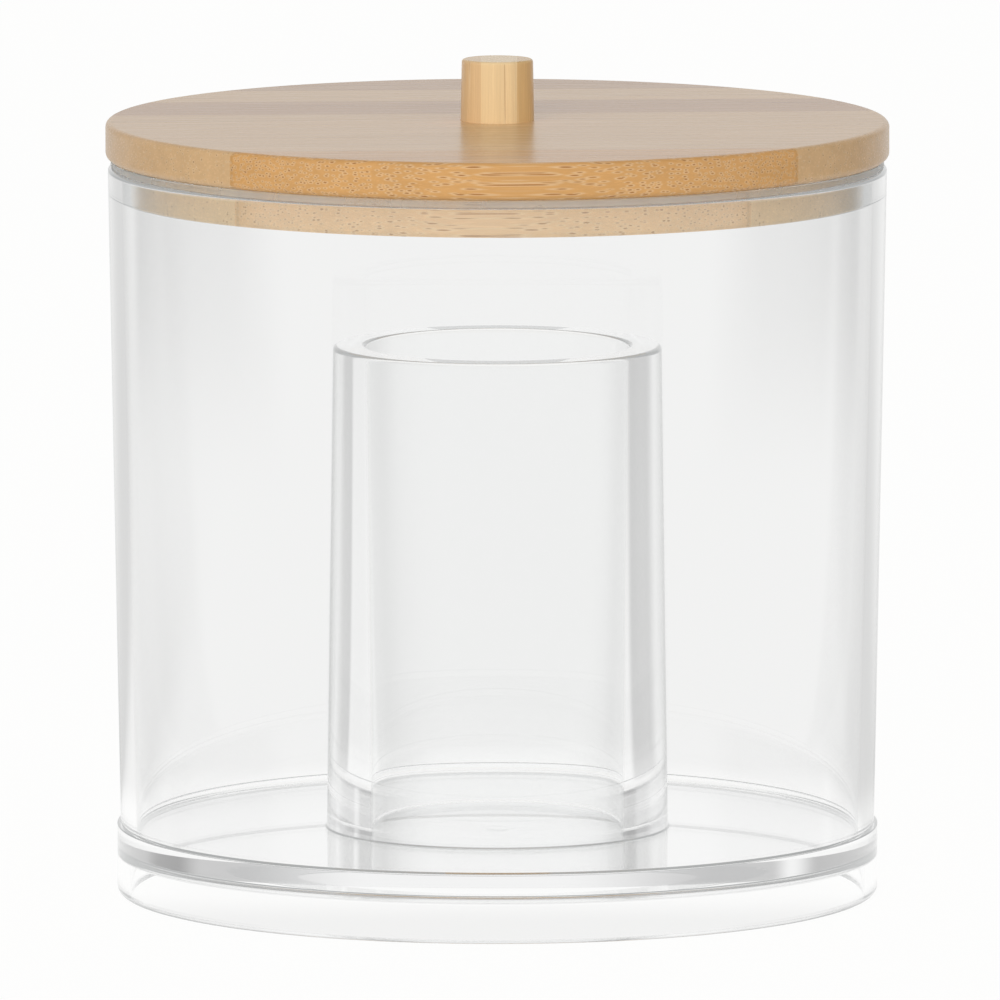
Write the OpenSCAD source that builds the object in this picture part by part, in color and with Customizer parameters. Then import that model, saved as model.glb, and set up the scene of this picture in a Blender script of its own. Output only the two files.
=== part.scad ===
// Round clear jar with a swab cup standing in its middle and a wooden lid with a clear seal.
// The jar stands on its skirt, with the middle of its base at the origin and +Z up.
// The turned pieces are profiles of radius and height, revolved round the Z axis.

/* [Jar] */
// Height from the table to the rim
jar_h = 97.3; // [85:0.1:130]
// Outer diameter of the wall at the rim
rim_d = 103.7; // [98:0.1:120]
// Thickness of the wall at the rim
rim_wall = 1.8; // [1.6:0.1:3]
// Radius that rounds the rim's inner and outer edges
rim_round = 0.5; // [0.2:0.05:1.2]
// Outer diameter of the wall where it meets the foot ring
wall_low_d = 100.6; // [96:0.1:118]
// Thickness of the wall at the floor
floor_wall = 2.05; // [1.6:0.05:3]
// Thickness of the floor
floor_t = 2.6; // [1.5:0.1:4]
// Radius of the fillet between the floor and the wall
floor_fillet = 0.6; // [0.2:0.1:2]

/* [Foot] */
// Outer diameter of the foot ring
foot_d = 101.5; // [97:0.5:120]
// Height of the foot ring
foot_h = 9.6; // [8:0.1:14]
// Height of the slope that blends the foot ring into the wall
foot_slope = 0.6; // [0.2:0.1:2]
// Height of the hollow under the floor
skirt_h = 6.2; // [3:0.1:9]
// Thickness of the skirt round that hollow
skirt_wall = 1.8; // [1.5:0.1:3]
// Radius of the skirt's outer bottom edge
foot_round = 0.9; // [0.3:0.1:1.2]
// Radius of the skirt's inner bottom edge
foot_inner_round = 0.3; // [0.1:0.1:0.4]
// Radius of the fillet at the top of the hollow
skirt_fillet = 0.5; // [0.2:0.1:2]
// Diameter of the moulding gate's mark under the floor
gate_d = 3; // [2:0.5:6]
// Height of the moulding gate's mark
gate_h = 0.3; // [0.1:0.1:1]

/* [Swab cup] */
// Height of the cup above the jar's floor
cup_h = 64.6; // [40:0.1:80]
// Outer diameter of the cup at its rim
cup_rim_d = 43.8; // [36:0.1:52]
// Outer diameter of the cup at its foot
cup_foot_d = 45.6; // [37:0.1:54]
// Diameter of the bore at the cup's rim
cup_bore_rim_d = 35.1; // [30:0.1:44]
// Diameter of the bore at the cup's foot
cup_bore_foot_d = 33.8; // [26:0.1:42]
// Radius that rounds the rim's inner and outer edges
cup_rim_round = 0.6; // [0.2:0.1:1]
// Radius of the fillet left round the foot by the bond
cup_foot_fillet = 0.2; // [0.1:0.1:1]

/* [Lid] */
// Diameter of the lid's upper disc
disc_d = 104.3; // [100:0.1:124]
// Thickness of the upper disc
disc_t = 5; // [4:0.1:8]
// Radius of the upper disc's top edge
disc_top_round = 0.8; // [0.2:0.1:1.5]
// Radius of the upper disc's bottom edge
disc_low_round = 0.9; // [0.2:0.1:1.5]
// Thickness of the plug under the disc
plug_t = 5; // [4:0.1:8]
// Radius of the plug's bottom edge
plug_round = 0.4; // [0.2:0.1:1]

/* [Seal] */
// Thickness of the seal's flange, which lies between the disc and the rim
seal_flange_t = 1.1; // [0.6:0.1:2]
// Distance from the rim's outer face in to the flange's edge
seal_inset = 0.4; // [0:0.05:1]
// Thickness of the sleeve round the plug
seal_wall = 0.9; // [0.5:0.1:1.5]
// Gap all round between the sleeve and the inside of the rim
seal_gap = 0.35; // [0.3:0.05:1]
// Radius of the edges of the flange and the sleeve
seal_round = 0.3; // [0.1:0.05:0.3]
// Gap between the flange and the rim that it rests on
seat_gap = 0.05; // [0.02:0.01:0.2]

/* [Knob] */
// Diameter of the knob where it meets the lid
knob_foot_d = 9.8; // [8.5:0.1:20]
// Diameter of the knob at its top
knob_top_d = 9.5; // [8.5:0.1:20]
// Height of the knob
knob_h = 8.2; // [8:0.1:20]
// Radius of the knob's top edge
knob_round = 0.4; // [0.1:0.1:1]

/* [Knob screw] */
// Length of the screw over its head
screw_l = 16; // [15:0.1:17]
// Diameter of the screw's head
screw_head_d = 6.8; // [6:0.1:8]
// Height of the cylindrical edge of the head
screw_head_edge = 0.4; // [0.2:0.1:0.6]
// Diameter of the plain shank through the lid
screw_shank_d = 3.4; // [3:0.1:4]
// Diameter of the core that bites into the knob
screw_core_d = 2.4; // [2:0.1:2.8]
// Length of the screw's pointed tip
screw_tip = 2; // [1:0.1:3]
// Depth of the head below the underside of the plug
screw_sink = 0.2; // [0.1:0.1:0.6]
// Arm length of the cross recess, from tip to tip
recess_l = 4; // [3:0.1:4.5]
// Width of the cross recess's arms
recess_w = 0.9; // [0.6:0.1:1.2]
// Depth of the cross recess
recess_depth = 1.4; // [0.8:0.1:1.8]
// Gap round the screw in the lid's hole and in the knob's hole
screw_gap = 0.1; // [0.05:0.01:0.3]

/* [Hidden] */
$fn = 128;
// Steps in a quarter-circle edge rounding
round_steps = 6;
// Points that pass the axis or a face by this much make clean cuts
past = 1;

rim_r = rim_d / 2;
rim_in_r = rim_r - rim_wall;
rim_edge = min(rim_round, rim_wall * 0.49);
wall_low_r = wall_low_d / 2;
floor_r = wall_low_r - floor_wall;
floor_z = skirt_h + floor_t;
foot_r = foot_d / 2;
skirt_r = foot_r - skirt_wall;

cup_foot_r = cup_foot_d / 2;
cup_rim_r = cup_rim_d / 2;
cup_bore_foot_r = cup_bore_foot_d / 2;
cup_bore_rim_r = cup_bore_rim_d / 2;
cup_rim_z = floor_z + cup_h;

disc_r = disc_d / 2;
seal_z = jar_h + seat_gap;
seal_r = rim_r - seal_inset;
sleeve_r = rim_in_r - seal_gap;
disc_z = seal_z + seal_flange_t;
lid_top_z = disc_z + disc_t;
plug_r = sleeve_r - seal_wall;
plug_z = disc_z - plug_t;

head_z = plug_z + screw_sink;
head_r = screw_head_d / 2;
shank_r = screw_shank_d / 2;
core_r = screw_core_d / 2;
head_cone = head_r - shank_r;
lid_t = disc_t + plug_t;
screw_top_z = head_z + screw_l;

// Points along an arc about (r, z), from angle a to angle b
function arc(r, z, radius, a, b) = [
    for (i = [0:round_steps])
        let (angle = a + (b - a) * i / round_steps)
            [r + radius * cos(angle), z + radius * sin(angle)]
];

// A turned solid: the profile is a list of [radius, height] points
module turned(profile) {
    rotate_extrude() polygon(profile);
}

// The wall, rim, floor and skirt are one moulding
module jar() {
    color([0.86, 0.92, 0.94, 0.35]) {
        turned(concat(
            [[0, skirt_h], [skirt_r - skirt_fillet, skirt_h]],
            arc(skirt_r - skirt_fillet, skirt_h - skirt_fillet, skirt_fillet, 90, 0),
            arc(skirt_r + foot_inner_round, foot_inner_round, foot_inner_round, 180, 270),
            arc(foot_r - foot_round, foot_round, foot_round, -90, 0),
            [[foot_r, foot_h - foot_slope], [wall_low_r, foot_h]],
            arc(rim_r - rim_edge, jar_h - rim_edge, rim_edge, 0, 90),
            arc(rim_in_r + rim_edge, jar_h - rim_edge, rim_edge, 90, 180),
            arc(floor_r - floor_fillet, floor_z + floor_fillet, floor_fillet, 0, -90),
            [[0, floor_z]]
        ));
        translate([0, 0, skirt_h - gate_h]) cylinder(h = gate_h, d = gate_d);
    }
}

// The cup is an open tapered tube, and the jar's floor closes it
module swab_cup() {
    color([0.88, 0.93, 0.95, 0.45])
        turned(concat(
            [[cup_bore_foot_r, floor_z], [cup_foot_r + cup_foot_fillet, floor_z]],
            arc(cup_foot_r + cup_foot_fillet, floor_z + cup_foot_fillet, cup_foot_fillet, 270, 180),
            arc(cup_rim_r - cup_rim_round, cup_rim_z - cup_rim_round, cup_rim_round, 0, 90),
            arc(cup_bore_rim_r + cup_rim_round, cup_rim_z - cup_rim_round, cup_rim_round, 90, 180)
        ));
}

// The hole that the screw's shank passes through, all the way up the lid
module shank_hole() {
    translate([0, 0, plug_z - past]) cylinder(h = lid_t + 2 * past, r = shank_r + screw_gap);
}

module lid_disc() {
    color([0.82, 0.65, 0.46])
        difference() {
            turned(concat(
                [[0, disc_z]],
                arc(disc_r - disc_low_round, disc_z + disc_low_round, disc_low_round, -90, 0),
                arc(disc_r - disc_top_round, lid_top_z - disc_top_round, disc_top_round, 0, 90),
                [[0, lid_top_z]]
            ));
            shank_hole();
        }
}

// The countersink holds the screw's head just below the plug's underside
module lid_plug() {
    color([0.86, 0.72, 0.54])
        difference() {
            turned(concat(
                [[0, plug_z]],
                arc(plug_r - plug_round, plug_z + plug_round, plug_round, -90, 0),
                [[plug_r, disc_z], [0, disc_z]]
            ));
            shank_hole();
            turned([
                [0, plug_z - past],
                [head_r + screw_gap, plug_z - past],
                [head_r + screw_gap, head_z + screw_head_edge],
                [shank_r + screw_gap, head_z + screw_head_edge + head_cone],
                [0, head_z + screw_head_edge + head_cone]
            ]);
        }
}

// One soft ring: its flange lies under the disc, and its sleeve hugs the plug
module lid_seal() {
    color([0.86, 0.9, 0.9, 0.5])
        turned(concat(
            [[plug_r, plug_z]],
            arc(sleeve_r - seal_round, plug_z + seal_round, seal_round, -90, 0),
            [[sleeve_r, seal_z]],
            arc(seal_r - seal_round, seal_z + seal_round, seal_round, -90, 0),
            arc(seal_r - seal_round, disc_z - seal_round, seal_round, 0, 90),
            [[plug_r, disc_z]]
        ));
}

// The knob's blind hole takes the screw's core from below
module knob() {
    color([0.89, 0.74, 0.55])
        difference() {
            turned(concat(
                [[0, lid_top_z], [knob_foot_d / 2, lid_top_z]],
                arc(knob_top_d / 2 - knob_round, lid_top_z + knob_h - knob_round, knob_round, 0, 90),
                [[0, lid_top_z + knob_h]]
            ));
            turned([
                [0, lid_top_z - past],
                [core_r + screw_gap, lid_top_z - past],
                [core_r + screw_gap, screw_top_z - screw_tip + screw_gap],
                [0, screw_top_z + screw_gap]
            ]);
        }
}

// A countersunk wood screw, head down, with its core in the knob
module knob_screw() {
    color([0.75, 0.75, 0.77])
        difference() {
            turned([
                [0, head_z],
                [head_r, head_z],
                [head_r, head_z + screw_head_edge],
                [shank_r, head_z + screw_head_edge + head_cone],
                [shank_r, lid_top_z - screw_gap - (shank_r - core_r)],
                [core_r, lid_top_z - screw_gap],
                [core_r, screw_top_z - screw_tip],
                [0, screw_top_z]
            ]);
            for (turn = [0, 90])
                rotate([0, 0, turn])
                    translate([-recess_l / 2, -recess_w / 2, head_z - past])
                        cube([recess_l, recess_w, recess_depth + past]);
        }
}

jar();
swab_cup();
lid_disc();
lid_plug();
lid_seal();
knob();
knob_screw();
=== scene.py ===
# %% [markdown]
# # A round cotton pad holder in clear plastic and bamboo
# The real thing has seven pieces: a clear jar moulded in one with its hollow
# foot, a clear cup bonded on the jar's floor, and a lift-off lid made of two
# glued bamboo discs, a soft clear seal, a turned knob and the screw that
# holds the knob.
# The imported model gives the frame. The bamboo pieces and the screw keep their
# own meshes and only get their finish here. The three clear pieces are turned
# again with finer steps, because clear plastic shows every facet.

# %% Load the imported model
import math

import bpy
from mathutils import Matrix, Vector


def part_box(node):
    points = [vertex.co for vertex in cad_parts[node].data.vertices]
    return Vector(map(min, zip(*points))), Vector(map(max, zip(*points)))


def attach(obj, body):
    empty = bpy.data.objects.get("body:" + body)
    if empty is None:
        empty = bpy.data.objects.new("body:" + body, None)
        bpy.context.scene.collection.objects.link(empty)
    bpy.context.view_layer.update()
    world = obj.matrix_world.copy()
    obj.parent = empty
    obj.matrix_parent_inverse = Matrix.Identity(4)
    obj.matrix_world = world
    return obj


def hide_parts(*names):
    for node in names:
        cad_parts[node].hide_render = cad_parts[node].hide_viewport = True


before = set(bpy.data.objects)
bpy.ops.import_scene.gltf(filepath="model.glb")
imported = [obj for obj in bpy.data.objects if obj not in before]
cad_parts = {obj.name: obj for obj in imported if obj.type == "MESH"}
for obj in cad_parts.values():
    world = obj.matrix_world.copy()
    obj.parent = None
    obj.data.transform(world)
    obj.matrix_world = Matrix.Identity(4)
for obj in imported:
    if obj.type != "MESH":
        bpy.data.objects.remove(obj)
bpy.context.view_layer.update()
MM = 0.001

# %% [markdown]
# ## Measures
# Sections are drawn in millimetres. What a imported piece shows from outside,
# its top, its underside and its radius, is read from that piece, so that a
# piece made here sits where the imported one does.

# %% Measures


def underside_of(node_name):
    return round(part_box(node_name)[0].z / MM, 2)


def top_of(node_name):
    return round(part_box(node_name)[1].z / MM, 2)


def radius_of(node_name):
    return round(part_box(node_name)[1].x / MM, 2)


for node_name in sorted(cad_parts):
    heights = (underside_of(node_name), top_of(node_name))
    print(node_name, "heights", heights, "radius", radius_of(node_name))

# %% [markdown]
# ## Camera
# The photo was taken from far away and a little above the rim, which shows
# in how flat the ellipses of the lid, the cup's rim and the floor are. The
# camera stands three metres off on the object's own axis, so that the
# ellipses open by the right amount from the lid down to the foot. The picture
# is then shifted a little, because the object doesn't stand in its middle.

# %% Camera
CAMERA_DISTANCE = 2950 * MM
CAMERA_HEIGHT = 426 * MM
AIM_HEIGHT = 51.2 * MM
PICTURE_WIDTH = 133.3333 * MM
PICTURE_SHIFT = (0.0026, 0.0096)
SENSOR_WIDTH = 36.0
FARTHEST_SEEN = 50

camera_data = bpy.data.cameras.new("studio_camera")
camera = bpy.data.objects.new("studio_camera", camera_data)
bpy.context.scene.collection.objects.link(camera)
bpy.context.scene.camera = camera
drop = CAMERA_HEIGHT - AIM_HEIGHT
camera.location = (0, -CAMERA_DISTANCE, CAMERA_HEIGHT)
camera.rotation_euler = (math.pi / 2 - math.atan2(drop, CAMERA_DISTANCE), 0, 0)
camera_data.sensor_width = SENSOR_WIDTH
camera_data.lens = SENSOR_WIDTH * math.hypot(CAMERA_DISTANCE, drop) / PICTURE_WIDTH
camera_data.shift_x = PICTURE_SHIFT[0]
camera_data.shift_y = PICTURE_SHIFT[1]
camera_data.clip_end = FARTHEST_SEEN
print("lens", round(camera_data.lens, 1), "mm")

# %% [markdown]
# ## Values
# Every finish is a sheet of nodes. Adding each sum as a node by hand hides
# what is worked out, so `Value` wraps one output socket, and plain sums such
# as `1 - mask` add their Math nodes.

# %% Values


class Value:
    """One output socket that can be used in sums."""

    def __init__(self, sheet, socket):
        self.sheet = sheet
        self.socket = socket

    def math(self, operation, *terms):
        inputs = dict(enumerate(terms))
        return self.sheet.node("ShaderNodeMath", {"operation": operation}, inputs)

    def __add__(self, other):
        return self.math("ADD", self, other)

    __radd__ = __add__

    def __sub__(self, other):
        return self.math("SUBTRACT", self, other)

    def __rsub__(self, other):
        return self.math("SUBTRACT", other, self)

    def __mul__(self, other):
        return self.math("MULTIPLY", self, other)

    __rmul__ = __mul__

    def __truediv__(self, other):
        return self.math("DIVIDE", self, other)

    def __abs__(self):
        return self.math("ABSOLUTE", self)

    def root(self):
        return self.math("SQRT", self)

    def over(self, other):
        """1 where this value is greater than other."""
        return self.math("GREATER_THAN", self, other)

    def at_least(self, other):
        return self.math("MAXIMUM", self, other)

    def beside(self, name):
        """Another output of the node that this one comes from."""
        return Value(self.sheet, self.socket.node.outputs[name])

    def fade(self, start, end):
        """0 at start and before, 1 at end and after, with a smooth change between them."""
        settings = {"interpolation_type": "SMOOTHSTEP"}
        inputs = {"Value": self, "From Min": start, "From Max": end}
        if start > end:
            inputs = {"Value": self, "From Min": end, "From Max": start, "To Min": 1.0, "To Max": 0.0}
        return self.sheet.node("ShaderNodeMapRange", settings, inputs)


# %% [markdown]
# ## Sheets
# `Sheet.node` adds any node from its type, its settings and what goes into
# its sockets. The methods after it are the few nodes that come back in every
# finish, under names that say what they are used for here.

# %% Sheets


class Sheet:
    """A node tree that is filled one node at a time."""

    def __init__(self, owner):
        owner.use_nodes = True
        self.tree = owner.node_tree
        self.tree.nodes.clear()

    def node(self, kind, settings=None, inputs=None, output=0):
        made = self.tree.nodes.new(kind)
        for name, setting in (settings or {}).items():
            if name == "steps":
                self.set_steps(made.color_ramp, setting)
            else:
                setattr(made, name, setting)
        for name, given in (inputs or {}).items():
            if isinstance(given, Value):
                self.tree.links.new(given.socket, made.inputs[name])
            else:
                made.inputs[name].default_value = given
        if not made.outputs:
            return made
        return Value(self, made.outputs[output])

    @staticmethod
    def set_steps(ramp, steps):
        """Steps are (position, red, green, blue, alpha), each flat up to the next."""
        ramp.interpolation = "CONSTANT"
        while len(ramp.elements) < len(steps):
            ramp.elements.new(1.0)
        for element, (position, *tint) in zip(ramp.elements, steps):
            element.position = position
            element.color = tint

    def place(self):
        return self.node("ShaderNodeTexCoord", None, None, "Object")

    def split(self, vector):
        parts = self.tree.nodes.new("ShaderNodeSeparateXYZ")
        self.tree.links.new(vector.socket, parts.inputs[0])
        return [Value(self, socket) for socket in parts.outputs]

    def join(self, x, y, z):
        return self.node("ShaderNodeCombineXYZ", None, {0: x, 1: y, 2: z})

    def noise(self, vector, scale, detail=2.0, rough=0.5):
        inputs = {"Vector": vector, "Scale": scale, "Detail": detail, "Roughness": rough}
        return self.node("ShaderNodeTexNoise", None, inputs, "Fac")

    def mix(self, factor, first, second, how="MIX"):
        """A mix of two colours."""
        settings = {"data_type": "RGBA", "blend_type": how, "clamp_factor": True}
        inputs = {0: factor, 6: first, 7: second}
        return self.node("ShaderNodeMix", settings, inputs, 2)

    def scale(self, tint, amount):
        """A colour made lighter or darker."""
        return self.node("ShaderNodeVectorMath", {"operation": "SCALE"}, {0: tint, "Scale": amount})

    def ray(self, kind):
        """1 for rays of one kind: camera, shadow, diffuse, glossy or transmission."""
        return self.node("ShaderNodeLightPath", None, None, "Is " + kind + " Ray")

    def faces_met(self):
        """How many faces a ray has passed or been mirrored by on its way."""
        return self.node("ShaderNodeLightPath", None, None, "Ray Depth")

    def blend(self, factor, first, second):
        """A mix of two surfaces."""
        return self.node("ShaderNodeMixShader", None, {0: factor, 1: first, 2: second})

    def show(self, surface, output="ShaderNodeOutputMaterial"):
        """Makes the surface what is seen."""
        self.node(output, None, {"Surface": surface})


# %% [markdown]
# ## Colours
# Colours are written as a screen shows them, because that is how they are
# matched to a photo. The shader works with light, so they are made linear.

# %% Colours
BLACK = (0.0, 0.0, 0.0)
WHITE = (1.0, 1.0, 1.0)


def colour(red, green, blue):
    """A colour as a screen shows it, 0 to 255, made linear."""
    parts = [part / 255 for part in (red, green, blue)]
    linear = [part / 12.92 if part <= 0.04045 else ((part + 0.055) / 1.055) ** 2.4 for part in parts]
    return tuple(linear)


def solid(tint):
    """A colour with the fourth number that a socket asks for."""
    return (*tint, 1.0)


# %% [markdown]
# ## Studio
# The photo's studio is white behind the object and under it. The backdrop
# therefore shows as white to the camera, and a shade darker through the clear
# plastic, as in the photo. What draws the edges of clear plastic is a change
# of tone round it, and the bands down the cup's walls show where it lies: on
# the left a grey stretch starts close beside the backdrop and ends at a
# bright panel, and on the right it starts further round. A darker wing stands
# on each side of the object, and shows where the plastic mirrors it.
# Cards and lamps could do this too, as in a real studio. Here the tone follows
# the direction from the object, in one formula for the air and the floor, so
# that no edge of a card shows in the plastic.

# %% Studio tones
BACKDROP_LEVEL = 0.90
GREY_LEVEL = 0.62
WING_LEVEL = 0.5
LEFT_GREY = (-6, -28, -37, -42)
RIGHT_GREY = (14, 34, 56, 64)
WINGS = (42, 50, 95, 110)


def stretch(turn, start, full, end, gone):
    """1 from full to end and 0 outside start and gone, which are degrees from straight behind."""
    start, full, end, gone = (math.radians(angle) for angle in (start, full, end, gone))
    return turn.fade(start, full) * turn.fade(gone, end)


def studio_sides(sheet, x, y):
    """Where the grey stretches and the wings stand, in the direction (x, y) from the object."""
    turn = sheet.node("ShaderNodeMath", {"operation": "ARCTAN2"}, {0: x, 1: y})
    grey = stretch(turn, *LEFT_GREY).at_least(stretch(turn, *RIGHT_GREY))
    return grey, stretch(abs(turn), *WINGS)


def studio_tone(backdrop, grey, wings):
    shade = (1 - (1 - GREY_LEVEL) * grey) * (1 - (1 - WING_LEVEL) * wings)
    return backdrop * shade


print("grey from", LEFT_GREY[0], "to", LEFT_GREY[-1], "and from", RIGHT_GREY[0], "to", RIGHT_GREY[-1])

# %% [markdown]
# ## Floor
# The floor goes on under the studio's greys, and most of what is seen through
# the jar is floor. Three things make it differ from the backdrop. Close
# behind the object it is fully lit. The greys only start a little way off, or
# they would stand on the table beside the jar. And how grey a spot looks
# depends on what it is seen through: the cup's walls catch it in full, while
# the cup's bore and the jar's wall alone show it paler.
# The count of faces that a ray has met tells these apart. The jar's near and
# far walls have four, the cup's wall brings more, and its bore more again.

# %% Floor tones
TABLE_LIT = (130 * MM, 100 * MM)
FOOT_SHADE = (-30 * MM, 0.0)
GREY_REACH = (55 * MM, 120 * MM)
WING_REACH = (400 * MM, 750 * MM)
JAR_SIDE = (55 * MM, 70 * MM)
JAR_FACES = 4
CUP_FACES = JAR_FACES + 1
BORE_FACES = JAR_FACES + 3
BORE_PALER = 0.6
WALL_PALER = 0.45


def floor_tone(sheet, x, y):
    """How bright the floor looks at (x, y)."""
    grey, wings = studio_sides(sheet, x, y)
    reach = (x * x + y * y).root()
    backdrop = BACKDROP_LEVEL + (1 - BACKDROP_LEVEL) * reach.fade(*TABLE_LIT) * y.fade(*FOOT_SHADE)
    through_cup = sheet.faces_met().over(CUP_FACES)
    through_bore = sheet.faces_met().over(BORE_FACES)
    grey = grey * (1 - BORE_PALER * through_bore) * (1 - WALL_PALER * (1 - through_cup))
    grey = grey * reach.fade(*GREY_REACH) * abs(x).fade(*JAR_SIDE).at_least(through_cup)
    return studio_tone(backdrop, grey, wings * reach.fade(*WING_REACH))


# %% [markdown]
# The floor is a plane just under the foot. It glows where the camera, the
# plastic or a mirror image looks at it, so that it is evenly white, and it is
# matte to the light that falls on it, so that it lights the wood from below.

# %% Floor
FLOOR_SIZE = 8.0
FLOOR_DROP = 0.05 * MM
FLOOR_GLOW = 0.97
FLOOR_PAINT = (0.95, 0.95, 0.945)
FLOOR_LIGHT = (1.0, 1.0, 0.995)

bpy.ops.mesh.primitive_plane_add(size=FLOOR_SIZE, location=(0, 0, -FLOOR_DROP))
floor = bpy.context.object
floor.name = "floor"

floor_material = bpy.data.materials.new("white_floor")
sheet = Sheet(floor_material)
x, y, z = sheet.split(sheet.place())
tone = floor_tone(sheet, x, y).at_least(sheet.ray("Camera"))
matte_colour = sheet.mix(tone, solid(BLACK), solid(FLOOR_PAINT))
glow_colour = sheet.mix(tone, solid(BLACK), solid(FLOOR_LIGHT))
matte = sheet.node("ShaderNodeBsdfDiffuse", None, {"Color": matte_colour})
glow = sheet.node("ShaderNodeEmission", None, {"Color": glow_colour, "Strength": 1.0})
seen = sheet.ray("Camera").at_least(sheet.ray("Transmission")).at_least(sheet.ray("Glossy"))
sheet.show(sheet.blend(seen * FLOOR_GLOW, matte, glow))
floor.data.materials.append(floor_material)
print("floor", FLOOR_SIZE, "m wide")

# %% [markdown]
# ## Air
# The world is the studio's air: the same sides as the floor's, growing darker
# towards the ceiling.

# %% Air
CEILING = (0.15, 0.9)
CEILING_DARKER = 0.4

world = bpy.data.worlds.new("studio")
bpy.context.scene.world = world
sheet = Sheet(world)
x, y, z = sheet.split(sheet.node("ShaderNodeTexCoord", None, None, "Generated"))
height_tone = 1 - CEILING_DARKER * z.fade(*CEILING)
level = studio_tone(BACKDROP_LEVEL, *studio_sides(sheet, x, y)) * height_tone
level = level.at_least(sheet.ray("Camera"))
air = sheet.node("ShaderNodeBackground", None, {"Color": solid(WHITE), "Strength": level})
sheet.show(air, "ShaderNodeOutputWorld")

# %% [markdown]
# ## Panel
# One soft panel stands in front on the left and gives the lid its light. It
# is hidden from the plastic, where it would show as a bright square.

# %% Panel
PANEL_PLACE = (-0.6, -2.0, 0.7)
PANEL_SIZE = 1.2
PANEL_POWER = 13
PANEL_AIM = 50 * MM

lamp = bpy.data.lights.new("front_panel", "AREA")
lamp.shape = "SQUARE"
lamp.size = PANEL_SIZE
lamp.energy = PANEL_POWER
panel = bpy.data.objects.new("front_panel", lamp)
bpy.context.scene.collection.objects.link(panel)
panel.location = PANEL_PLACE
aim = -panel.location
aim.z += PANEL_AIM
panel.rotation_euler = aim.to_track_quat("-Z", "Y").to_euler()
panel.visible_glossy = False
panel.visible_transmission = False
print("panel at", PANEL_PLACE, PANEL_POWER, "W")

# %% [markdown]
# ## Bounces
# Light crosses about a dozen faces in the jar and the cup, and more where it
# is mirrored, so it gets more bounces than a solid object would need.

# %% Bounces
CLEAR_BOUNCES = 32
MIRROR_BOUNCES = 24

cycles = bpy.context.scene.cycles
cycles.max_bounces = CLEAR_BOUNCES
cycles.transmission_bounces = CLEAR_BOUNCES
cycles.transparent_max_bounces = CLEAR_BOUNCES
cycles.glossy_bounces = MIRROR_BOUNCES
print("bounces", CLEAR_BOUNCES, "clear", MIRROR_BOUNCES, "mirrored")

# %% [markdown]
# ## Turned pieces
# The jar, the cup and the seal are bodies of revolution. Each starts as one
# vertex, which is extruded from corner to corner into half of its
# cross-section. The corners are then rounded, so that only the corners have
# to be known, and the arcs come from their radii.

# %% Half sections
ROUND_STEPS = 8
SAME_PLACE = 0.001 * MM


def select_nothing():
    if bpy.context.mode != "OBJECT":
        bpy.ops.object.mode_set(mode="OBJECT")
    bpy.ops.object.select_all(action="DESELECT")


def start_vertex(name, radius, height):
    """A mesh of one vertex, which is selected in edit mode."""
    select_nothing()
    bpy.ops.mesh.primitive_plane_add(size=1 * MM, location=(0, 0, 0))
    piece = bpy.context.object
    piece.name = name
    piece.data.name = name
    bpy.ops.object.mode_set(mode="EDIT")
    bpy.ops.mesh.select_mode(type="VERT")
    bpy.ops.mesh.merge(type="CENTER")
    bpy.ops.transform.translate(value=(radius * MM, 0, height * MM))
    return piece


def select_corner(piece, radius, height):
    bpy.ops.mesh.select_all(action="DESELECT")
    bpy.ops.object.mode_set(mode="OBJECT")
    for vertex in piece.data.vertices:
        off = math.hypot(vertex.co.x - radius, vertex.co.z - height)
        vertex.select = off < SAME_PLACE
    bpy.ops.object.mode_set(mode="EDIT")


def draw_section(name, corners):
    """Half of a cross-section: corners are (radius, height, rounding) in millimetres."""
    piece = start_vertex(name, corners[0][0], corners[0][1])
    for before, after in zip(corners, corners[1:]):
        step = ((after[0] - before[0]) * MM, 0, (after[1] - before[1]) * MM)
        bpy.ops.mesh.extrude_region_move(TRANSFORM_OT_translate={"value": step})
    for radius, height, rounding in corners:
        if rounding:
            select_corner(piece, radius * MM, height * MM)
            bpy.ops.mesh.bevel(offset=rounding * MM, segments=ROUND_STEPS, affect="VERTICES")
    return piece


# %% [markdown]
# The section is then spun round the upright axis. Clear plastic shows every
# fault of its surface normals, so each normal is weighted by the area of its
# faces: a tall wall stays straight up to the arc that ends it.

# %% Spinning
TURN_STEPS = 256
MERGE_WITHIN = 0.0005 * MM
SHARP_ANGLE = 35
EQUAL_AREAS = 0.0001


def smooth_surface(piece):
    bpy.ops.object.shade_smooth_by_angle(angle=math.radians(SHARP_ANGLE))
    weighted = piece.modifiers.new("weighted", "WEIGHTED_NORMAL")
    weighted.mode = "FACE_AREA"
    weighted.weight = 100
    weighted.thresh = EQUAL_AREAS
    weighted.keep_sharp = True
    bpy.ops.object.modifier_apply(modifier="weighted")


def turn_section(piece):
    """Spins the section round the upright axis and closes the seam and the poles."""
    bpy.ops.mesh.select_all(action="SELECT")
    bpy.ops.mesh.spin(steps=TURN_STEPS, angle=math.tau, center=(0, 0, 0), axis=(0, 0, 1))
    bpy.ops.mesh.select_all(action="SELECT")
    bpy.ops.mesh.remove_doubles(threshold=MERGE_WITHIN)
    bpy.ops.mesh.normals_make_consistent(inside=False)
    bpy.ops.object.mode_set(mode="OBJECT")
    smooth_surface(piece)
    sides = [round(side / MM, 2) for side in piece.dimensions]
    print(piece.name, len(piece.data.polygons), "faces", sides)
    return piece


# %% [markdown]
# ## Clear plastic
# Both mouldings are clear polystyrene, which bends light more than acrylic
# does, and the seal is clear silicone, which bends it less. The seal's flange
# is a little cloudy and milky, and its sleeve is clear, so that the plug shows
# through it. A plain glass shader goes wrong in two places, which the last two
# blends mend. Rays that look for light pass straight through, so that light
# reaches the floor and the inside. And light that stays caught between the
# faces of a wall comes out as a faint grey, where the shader would give up
# and show black.

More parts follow.
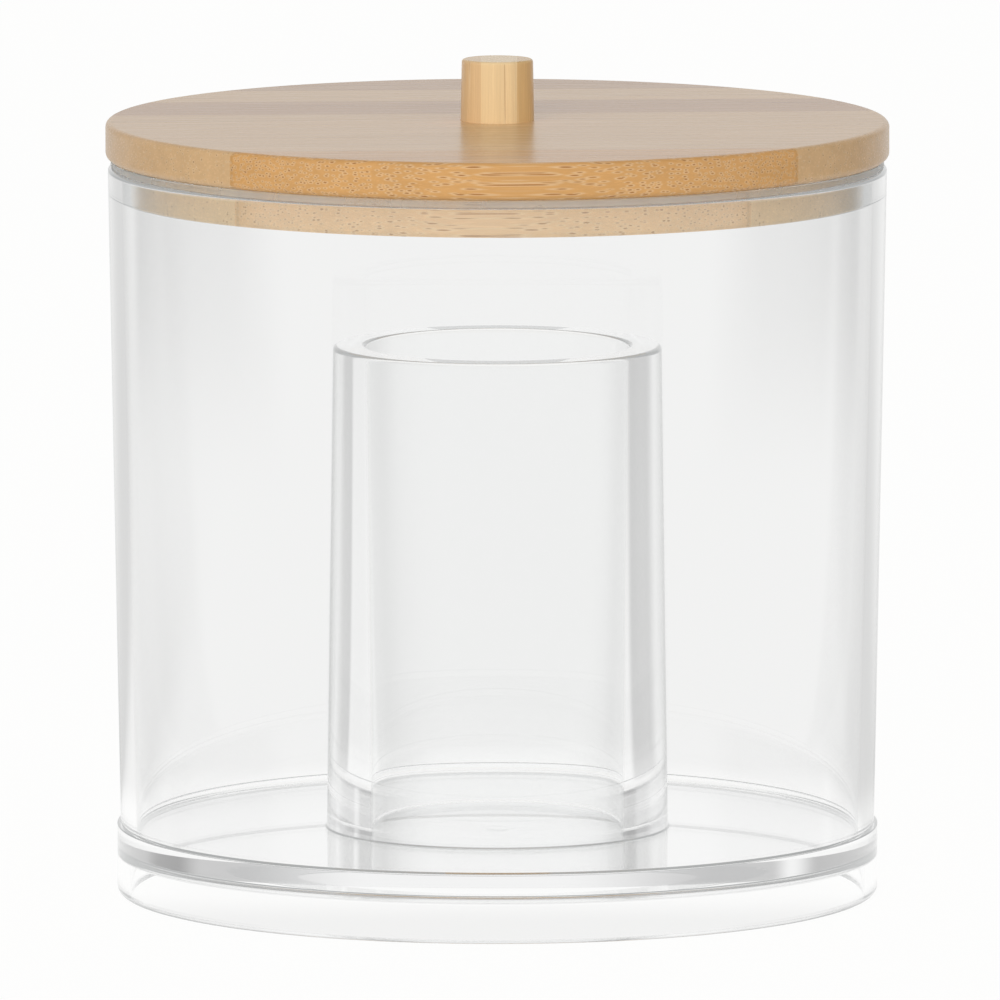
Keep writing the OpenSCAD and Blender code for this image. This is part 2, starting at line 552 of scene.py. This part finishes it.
# %% Clear plastic
POLYSTYRENE = 1.57
SILICONE = 1.41
LIGHT_PASSED = 0.98
CAUGHT_IN_PLASTIC = 12
CAUGHT_IN_SEAL = 4
CAUGHT_TONE = (0.42, 0.43, 0.43)
MILK_TONE = (0.66, 0.68, 0.67)
FLOW_SIZE = 60.0
FLANGE_UNDER = top_of("jar") + 0.05
FLANGE_START = ((FLANGE_UNDER - 0.1) * MM, (FLANGE_UNDER + 0.1) * MM)


def clear_material(name, bending, tint, caught_after, cloud=0.0, milk=0.0):
    """Clear material; cloud and milk are how rough and how white it is above the rim."""
    material = bpy.data.materials.new(name)
    sheet = Sheet(material)
    place = sheet.place()
    flow = sheet.noise(place, FLOW_SIZE, 3.0)
    haze = flow * 2 * sheet.split(place)[2].fade(*FLANGE_START)
    clear = sheet.node("ShaderNodeBsdfPrincipled", None, {
        "Base Color": sheet.mix(flow, solid(WHITE), solid(tint)),
        "Transmission Weight": 1.0,
        "IOR": bending,
        "Roughness": haze * cloud,
    })
    white = sheet.node("ShaderNodeBsdfDiffuse", None, {"Color": solid(MILK_TONE)})
    surface = sheet.blend(haze * milk, clear, white)
    caught = sheet.node("ShaderNodeEmission", None, {"Color": solid(CAUGHT_TONE), "Strength": 1.0})
    surface = sheet.blend(sheet.faces_met().over(caught_after), surface, caught)
    passed = sheet.node("ShaderNodeBsdfTransparent", None, {"Color": solid((LIGHT_PASSED,) * 3)})
    looks_for_light = sheet.ray("Shadow").at_least(sheet.ray("Diffuse"))
    sheet.show(sheet.blend(looks_for_light, surface, passed))
    print(name, "bends light", bending, "times")
    return material


# %% [markdown]
# ## Jar
# The wall thins a little towards the rim and leans out, as it must to leave
# the mould. At its foot it steps out into a ring. The floor stands on a hollow
# skirt, which shows in the photo as a second line under the floor, and the
# gate where the plastic was let in is a small round mark under the middle.
# The whole jar is one section, because it is one moulding: two pieces pushed
# together would show a face between them.

# %% Jar
RIM_HEIGHT = top_of("jar")
RIM_RADIUS = radius_of("jar")
RIM_WALL = 1.8
RIM_ROUND = 0.5
WALL_FOOT_RADIUS = 50.3
WALL_FOOT_THICKNESS = 2.05
FLOOR_TOP = underside_of("swab_cup")
FLOOR_UNDER = 6.2
FLOOR_FILLET = 0.6
RING_RADIUS = 50.75
RING_TOP = 9.3
RING_SLOPE = 0.2
RING_EDGE = 0.1
SKIRT_WALL = 1.8
SKIRT_OUTER_ROUND = 0.9
SKIRT_INNER_ROUND = 0.3
HOLLOW_FILLET = 1.2
GATE_RADIUS = 1.5
GATE_HEIGHT = 0.3

jar = turn_section(draw_section("jar_clear", [
    (0, FLOOR_UNDER - GATE_HEIGHT, 0),
    (GATE_RADIUS, FLOOR_UNDER - GATE_HEIGHT, 0),
    (GATE_RADIUS, FLOOR_UNDER, 0),
    (RING_RADIUS - SKIRT_WALL, FLOOR_UNDER, HOLLOW_FILLET),
    (RING_RADIUS - SKIRT_WALL, 0, SKIRT_INNER_ROUND),
    (RING_RADIUS, 0, SKIRT_OUTER_ROUND),
    (RING_RADIUS, RING_TOP, RING_EDGE),
    (WALL_FOOT_RADIUS, RING_TOP + RING_SLOPE, 0),
    (RIM_RADIUS, RIM_HEIGHT, RIM_ROUND),
    (RIM_RADIUS - RIM_WALL, RIM_HEIGHT, RIM_ROUND),
    (WALL_FOOT_RADIUS - WALL_FOOT_THICKNESS, FLOOR_TOP, FLOOR_FILLET),
    (0, FLOOR_TOP, 0),
]))
jar_plastic = clear_material("clear_jar_plastic", POLYSTYRENE, (0.998, 1.0, 1.0), CAUGHT_IN_PLASTIC)
jar.data.materials.append(jar_plastic)
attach(jar, "jar_body")
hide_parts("jar")

# %% [markdown]
# ## Swab cup
# The cup is an open tube whose bore narrows downwards, and the jar's floor
# closes it. The bond leaves no air between them, so the cup's foot reaches a
# hair into the floor: light then passes the joint as it does on the real one.
# The thick wall matters more than the outline, because the wide bands down
# the cup's sides are what it does to the light.

# %% Swab cup
CUP_RIM = top_of("swab_cup")
CUP_RIM_RADIUS = 21.9
CUP_FOOT_RADIUS = radius_of("swab_cup")
CUP_ROUND = 0.6
BORE_RIM_RADIUS = 17.55
BORE_FOOT_RADIUS = 16.9
BOND_FILLET = 0.2
BOND_DEPTH = 0.02

cup = turn_section(draw_section("swab_cup_clear", [
    (BORE_FOOT_RADIUS, FLOOR_TOP - BOND_DEPTH, 0),
    (CUP_FOOT_RADIUS, FLOOR_TOP - BOND_DEPTH, 0),
    (CUP_FOOT_RADIUS, FLOOR_TOP, 0),
    (CUP_FOOT_RADIUS - BOND_FILLET, FLOOR_TOP + BOND_FILLET, 0),
    (CUP_RIM_RADIUS, CUP_RIM, CUP_ROUND),
    (BORE_RIM_RADIUS, CUP_RIM, CUP_ROUND),
    (BORE_FOOT_RADIUS, FLOOR_TOP - BOND_DEPTH, 0),
]))
cup_plastic = clear_material("clear_cup_plastic", POLYSTYRENE, (0.995, 0.999, 0.998), CAUGHT_IN_PLASTIC)
cup.data.materials.append(cup_plastic)
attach(cup, "jar_body")
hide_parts("swab_cup")

# %% [markdown]
# ## Seal
# A soft ring of clear silicone is stretched over the plug. Its flange lies
# between the lid's disc and the jar's rim, where it shows as a grey band all
# the way round, and its sleeve shows as a darker block at the plug's ends.
# A hair of air stays between the ring and the wood, as on the real lid, and
# the sleeve ends just before the jar's wall.

# %% Seal
PLUG_UNDER = underside_of("lid_plug")
PLUG_RADIUS = radius_of("lid_plug")
DISC_UNDER = underside_of("lid_disc")
FLANGE_RADIUS = radius_of("lid_seal")
SLEEVE_RADIUS = RIM_RADIUS - RIM_WALL - 0.07
SEAL_ROUND = 0.3
AIR = 0.03

seal = turn_section(draw_section("lid_seal_clear", [
    (PLUG_RADIUS + AIR, PLUG_UNDER, 0),
    (SLEEVE_RADIUS, PLUG_UNDER, SEAL_ROUND),
    (SLEEVE_RADIUS, FLANGE_UNDER, 0),
    (FLANGE_RADIUS, FLANGE_UNDER, SEAL_ROUND),
    (FLANGE_RADIUS, DISC_UNDER - AIR, SEAL_ROUND),
    (PLUG_RADIUS + AIR, DISC_UNDER - AIR, 0),
    (PLUG_RADIUS + AIR, PLUG_UNDER, 0),
]))
seal_silicone = clear_material(
    "clear_seal_silicone", SILICONE, (0.90, 0.93, 0.93), CAUGHT_IN_SEAL, cloud=0.3, milk=0.3)
seal.data.materials.append(seal_silicone)
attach(seal, "lid_body")
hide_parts("lid_seal")

# %% [markdown]
# ## Bamboo
# A bamboo board is made of strips glued edge to edge, with the grain along
# them. Dark threads with a pale sheath, the stalk's vessels, run along the
# grain. Where the lid's round edge cuts across them they show as dots, and
# where it runs along them as streaks. A picture wrapped round the lid would
# get that wrong, so the finish is solid: it is laid out along the grain,
# across it and through the board, and each face shows what a cut there would.

# %% Grain
BOARD_HALF = 56.0


def grain_place(sheet, turn, order):
    """Millimetres along the grain, across it and through the board."""
    inputs = {"Vector": sheet.place(), "Rotation": (0, 0, -math.radians(turn)), "Scale": (1 / MM,) * 3}
    parts = dict(zip("xyz", sheet.split(sheet.node("ShaderNodeMapping", None, inputs))))
    return [parts[axis] for axis in order]


# %% [markdown]
# The strips are flat steps of a colour ramp across the board. The ramp's
# alpha, which the colour doesn't need, carries the share of a strip's threads
# that are dark. A thin dark line marks each glue joint. On the knob the steps
# are painted bands of light and shade, and its lines are painted edges.

# %% Strips
GLUE_LINE = (0.25, 0.05)


def strip_tones(sheet, across, strips):
    """Strips are (where it starts across the grain, colour, share of the threads that are dark)."""
    board = 2 * BOARD_HALF
    steps = [((start + BOARD_HALF) / board, *colour(*tone), share) for start, tone, share in strips]
    return sheet.node("ShaderNodeValToRGB", {"steps": steps}, {0: (across + BOARD_HALF) / board})


def glue_and_painted_edge_lines(across, strips):
    """1 on the lines where one strip meets the next."""
    glue = 0
    for start, tone, share in strips[1:]:
        line = abs(across - start).fade(*GLUE_LINE)
        glue = line.at_least(glue)
    return glue


# %% [markdown]
# Each thread is a cell in the plane across the grain, with its own size, its
# own tone and its own chance to be dark. A slow noise moves the cells as the
# cut goes along the grain, so that the threads wander a little, as grown
# ones do.

# %% Threads
THREAD_SPACING = 0.46
THREAD_HALF = 0.04
THREAD_GROWS = 0.07
SHEATH_WIDTH = 0.09
CORE_EDGE = (-0.035, 0.035)
SHEATH_EDGE = (-0.06, 0.05)
SHARE_EDGE = (-0.04, 0.04)
WANDER = 1.0
WANDER_ALONG = 0.035
WANDER_ACROSS = 0.12
UPWARDS = 40


def wander(sheet, along, across, through, seed, start):
    """How far, in millimetres, a thread has strayed at this place along the grain."""
    drift = sheet.join(along * WANDER_ALONG + start, across * WANDER_ACROSS + seed, through * WANDER_ACROSS)
    return (sheet.noise(drift, 1.0) - 0.5) * WANDER


def thread_masks(sheet, along, across, through, dark_share, seed):
    """Where the threads' cores and sheaths are, and a number that is each thread's own."""
    sideways = wander(sheet, along, across, through, seed, 0)
    upwards = wander(sheet, along, across, through, seed, UPWARDS)
    cut = sheet.join(across + sideways + seed * 10, through + upwards, 0.0)
    settings = {"voronoi_dimensions": "2D", "feature": "F1"}
    off = sheet.node("ShaderNodeTexVoronoi", settings, {"Vector": cut, "Scale": 1 / THREAD_SPACING})
    own, own_size, own_tone = sheet.split(off.beside("Color"))
    off = off * THREAD_SPACING
    width = THREAD_HALF + own_size * THREAD_GROWS
    is_dark = (dark_share - own).fade(*SHARE_EDGE)
    core = (width - off).fade(*CORE_EDGE) * is_dark
    sheath = (width + SHEATH_WIDTH - off).fade(*SHEATH_EDGE) * is_dark * (1 - core)
    return core, sheath, own_tone


# %% [markdown]
# Between the threads the wood changes in fine streaks and in broad ones. The
# threads and the glue lie a hair deeper than the sanded face, and a thin satin
# lacquer covers all of it.

# %% Lacquered bamboo
STREAKS = 0.22
SHEATH_TONE = (1.0, 0.82, 0.55)
SHEATH_STRENGTH = 0.3
CORE_TONE = (0.52, 0.36, 0.22)
CORE_STRENGTH = 0.45
CORE_CHANGE = 0.4
LACQUER_ROUGH = 0.20
LACQUER_CHANGE = 0.12
BUMP_STRENGTH = 0.35
BUMP_HEIGHT = 0.03 * MM


def bamboo(name, turn, order, strips, glue_and_painted_edge_tone, seed):
    """A board of strips, its grain turned by some degrees and laid along the first axis in order."""
    material = bpy.data.materials.new(name)
    sheet = Sheet(material)
    along, across, through = grain_place(sheet, turn, order)
    strip = strip_tones(sheet, across, strips)
    # On the knob these lines are painted edges between its bands of painted light and shade.
    glue = glue_and_painted_edge_lines(across, strips)
    core, sheath, own_tone = thread_masks(sheet, along, across, through, strip.beside("Alpha"), seed)

    fine = sheet.noise(sheet.join(along * 0.06, across * 3.2, through * 3.2), 1.0, 3.0, 0.6)
    broad = sheet.noise(sheet.join(along * 0.02 + seed, across * 0.5, through * 0.5), 1.0, 2.0)
    level = 1 + (fine - 0.5) * STREAKS + (broad - 0.5) * STREAKS - glue * glue_and_painted_edge_tone
    wood = sheet.scale(strip, level)
    wood = sheet.mix(sheath * SHEATH_STRENGTH, wood, solid(SHEATH_TONE))
    wood = sheet.mix(core * (CORE_STRENGTH + own_tone * CORE_CHANGE), wood, solid(CORE_TONE), "MULTIPLY")

    height = fine * 0.4 - core * 0.8 - glue
    inputs = {"Strength": BUMP_STRENGTH, "Distance": BUMP_HEIGHT, "Height": height}
    lacquered = sheet.node("ShaderNodeBsdfPrincipled", None, {
        "Base Color": wood,
        "Roughness": LACQUER_ROUGH + fine * LACQUER_CHANGE,
        "Normal": sheet.node("ShaderNodeBump", None, inputs),
    })
    sheet.show(lacquered)
    print(name, len(strips), "strips")
    return material


# %% [markdown]
# ## Lid
# The two boards of the lid are glued with their joints apart, so that it
# can't warp. The disc's front strip is orange and full of threads, and its
# back strips are browner. The plug is paler and was sanded without stain.
# The knob is turned with its grain upright. Its three steps across are painted
# light and shade on one bamboo: a lit band on the left, a painted highlight
# down the front and painted shade on the right side.

# %% Lid
ORANGE = (222, 167, 100)
TAN = (224, 184, 134)
BROWN = (200, 156, 112)
PALE = (246, 206, 154)
CREAM = (250, 218, 172)
# Painted light and shade on the knob: a lit left band, a highlight down the front and a shaded right side,
# all one bamboo.
KNOB_PAINTED_LEFT_LIGHT = (242, 204, 152)
KNOB_PAINTED_HIGHLIGHT = (252, 220, 168)
KNOB_PAINTED_RIGHT_SHADE = (234, 194, 134)


def dress(node_name, material):
    """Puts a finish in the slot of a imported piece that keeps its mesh."""
    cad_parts[node_name].material_slots[0].material = material


dress("lid_disc", bamboo("bamboo_disc", 3.5, "xyz", [
    (-BOARD_HALF, ORANGE, 0.9),
    (-36.5, TAN, 0.25),
    (8.0, BROWN, 0.5),
    (24.0, TAN, 0.3),
    (38.0, BROWN, 0.6),
], glue_and_painted_edge_tone=0.12, seed=3.0))
dress("lid_plug", bamboo("bamboo_plug", -0.9, "xyz", [
    (-BOARD_HALF, PALE, 0.75),
    (-36.2, CREAM, 0.2),
    (-5.0, PALE, 0.5),
    (15.0, CREAM, 0.3),
    (34.0, PALE, 0.5),
], glue_and_painted_edge_tone=0.12, seed=11.0))
# Painted light: the knob's three steps across are lit, highlighted and shaded tones of one bamboo, with
# faint painted edges between them.
dress("knob", bamboo("bamboo_knob", 0.0, "zxy", [
    (-BOARD_HALF, KNOB_PAINTED_LEFT_LIGHT, 0.05),
    (-2.5, KNOB_PAINTED_HIGHLIGHT, 0.02),
    (2.35, KNOB_PAINTED_RIGHT_SHADE, 0.1),
], glue_and_painted_edge_tone=0.03, seed=23.0))

# %% [markdown]
# ## Screw
# The screw that holds the knob is zinc plated steel. Only its head shows,
# sunk in the plug's underside. The zinc changes from ring to ring round the
# screw's axis, as fine marks of turning do.

# %% Screw
ZINC_DARK = (190, 192, 196)
ZINC_LIGHT = (214, 214, 212)
RING_SCALE = 4000.0

zinc = bpy.data.materials.new("zinc_plated_steel")
sheet = Sheet(zinc)
x, y, z = sheet.split(sheet.place())
turning = sheet.noise(sheet.join((x * x + y * y) / MM, z / MM, 0.0), RING_SCALE)
steel = sheet.node("ShaderNodeBsdfPrincipled", None, {
    "Base Color": sheet.mix(turning, solid(colour(*ZINC_DARK)), solid(colour(*ZINC_LIGHT))),
    "Metallic": 1.0,
    "Roughness": 0.25 + turning * 0.2,
})
sheet.show(steel)
dress("knob_screw", zinc)
print("knob_screw in", zinc.name)

# %% [markdown]
# ## Finish
# The tones above were matched to what a screen shows, so the view transform
# is the plain one.

# %% Finish
bpy.context.scene.view_settings.view_transform = "Standard"
